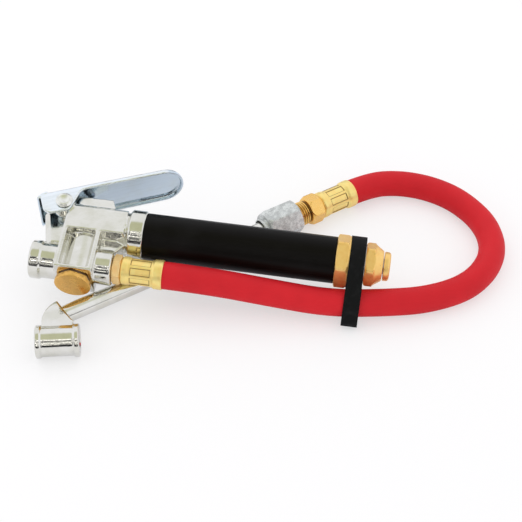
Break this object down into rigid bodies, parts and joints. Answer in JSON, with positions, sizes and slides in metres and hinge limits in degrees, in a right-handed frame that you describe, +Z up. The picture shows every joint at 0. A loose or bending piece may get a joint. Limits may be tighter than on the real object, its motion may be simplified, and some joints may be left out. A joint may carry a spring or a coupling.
{
  "type": "portable tire inflator",
  "caption": "Hand-held tyre inflator: lever valve, bar gauge in the handle, short hose and double-footed chuck.",
  "frame": {"origin": "on the surface that the inflator lies on, under the middle of its rigid pieces' box", "axes": "+Z up; +X along the handle's heading, towards its tail; +Y towards the lever's side"},
  "size_m": [0.2418, 0.1628, 0.0462],
  "materials": {
    "chrome_casting": "polished plating over a casting",
    "chrome_tube": "polished plating over steel tube",
    "plated_steel": "bright zinc plate, slightly blue",
    "spring_steel": "drawn wire",
    "zinc_nut": "dull zinc plate, turned",
    "brass_hex": "turned and brushed",
    "brass_plug": "dull turned face",
    "brass_ferrule": "bright pressed brass",
    "brass_fitting": "bright turned brass",
    "aluminium_tube": "drawn",
    "black_grip": "satin black",
    "red_hose": "matte red rubber",
    "black_rubber": "matte"
  },
  "bodies": {
    "root": {"valve_block": "chrome_casting", "stem_seal": "black_rubber", "valve_spring": "spring_steel", "valve_plug": "brass_plug", "plug_gasket": "black_rubber", "lever_rivet": "plated_steel", "grip_sleeve": "black_grip", "gauge_barrel": "aluminium_tube", "tail_ring": "brass_hex", "end_cap": "brass_hex", "gauge_spring": "spring_steel", "front_fitting": "brass_fitting", "front_ferrule": "brass_ferrule", "hose": "red_hose", "back_ferrule": "brass_ferrule", "back_fitting": "brass_fitting", "chuck_nut": "zinc_nut", "nut_washer": "black_rubber", "chuck_stem": "chrome_tube", "chuck_head": "chrome_casting", "rubber_band": "black_rubber", "mouth_ring_front": "plated_steel", "foot_seal_front": "black_rubber", "foot_spring_front": "spring_steel", "mouth_ring_rear": "plated_steel", "foot_seal_rear": "black_rubber", "foot_spring_rear": "spring_steel"},
    "lever": {"lever": "plated_steel"},
    "valve": {"valve_stem": "brass_fitting", "valve_poppet": "brass_fitting", "poppet_washer": "black_rubber"},
    "gauge": {"gauge_piston": "brass_fitting", "piston_cup": "black_rubber", "indicator_bar": "zinc_nut", "bar_button": "brass_hex"},
    "foot_pin_front": {"foot_pin_front": "plated_steel"},
    "foot_pin_rear": {"foot_pin_rear": "plated_steel"}
  },
  "joints": [
    {"name": "lever_press", "type": "hinge", "parent": "root", "child": "lever", "pos_m": [-0.07709, 0.01528, 0.03043], "axis": [-0.0499, 0.247, -0.9677], "range_deg": [0, 10], "stiffness_Nm_per_rad": 0.5, "springref_deg": -17.19},
    {"name": "valve_stroke", "type": "slide", "parent": "root", "child": "valve", "axis": [-0.0127, -0.969, -0.2467], "range_m": [0, 0.0028], "deforming": ["valve_spring"]},
    {"name": "gauge_slide", "type": "slide", "parent": "root", "child": "gauge", "axis": [0.9987, 0, -0.0515], "range_m": [0, 0.014], "stiffness_N_per_m": 150, "springref_m": -0.012, "deforming": ["gauge_spring"]},
    {"name": "foot_pin_front_slide", "type": "slide", "parent": "root", "child": "foot_pin_front", "axis": [-0.9812, -0.1932, 0], "range_m": [0, 0.0016], "stiffness_N_per_m": 600, "springref_m": -0.001, "deforming": ["foot_spring_front"]},
    {"name": "foot_pin_rear_slide", "type": "slide", "parent": "root", "child": "foot_pin_rear", "axis": [0.9812, 0.1932, 0], "range_m": [0, 0.0016], "stiffness_N_per_m": 600, "springref_m": -0.001, "deforming": ["foot_spring_rear"]}
  ],
  "couplings": [
    {"joint": "valve_stroke", "follows": "lever_press", "m_per_rad": 0.0155}
  ]
}
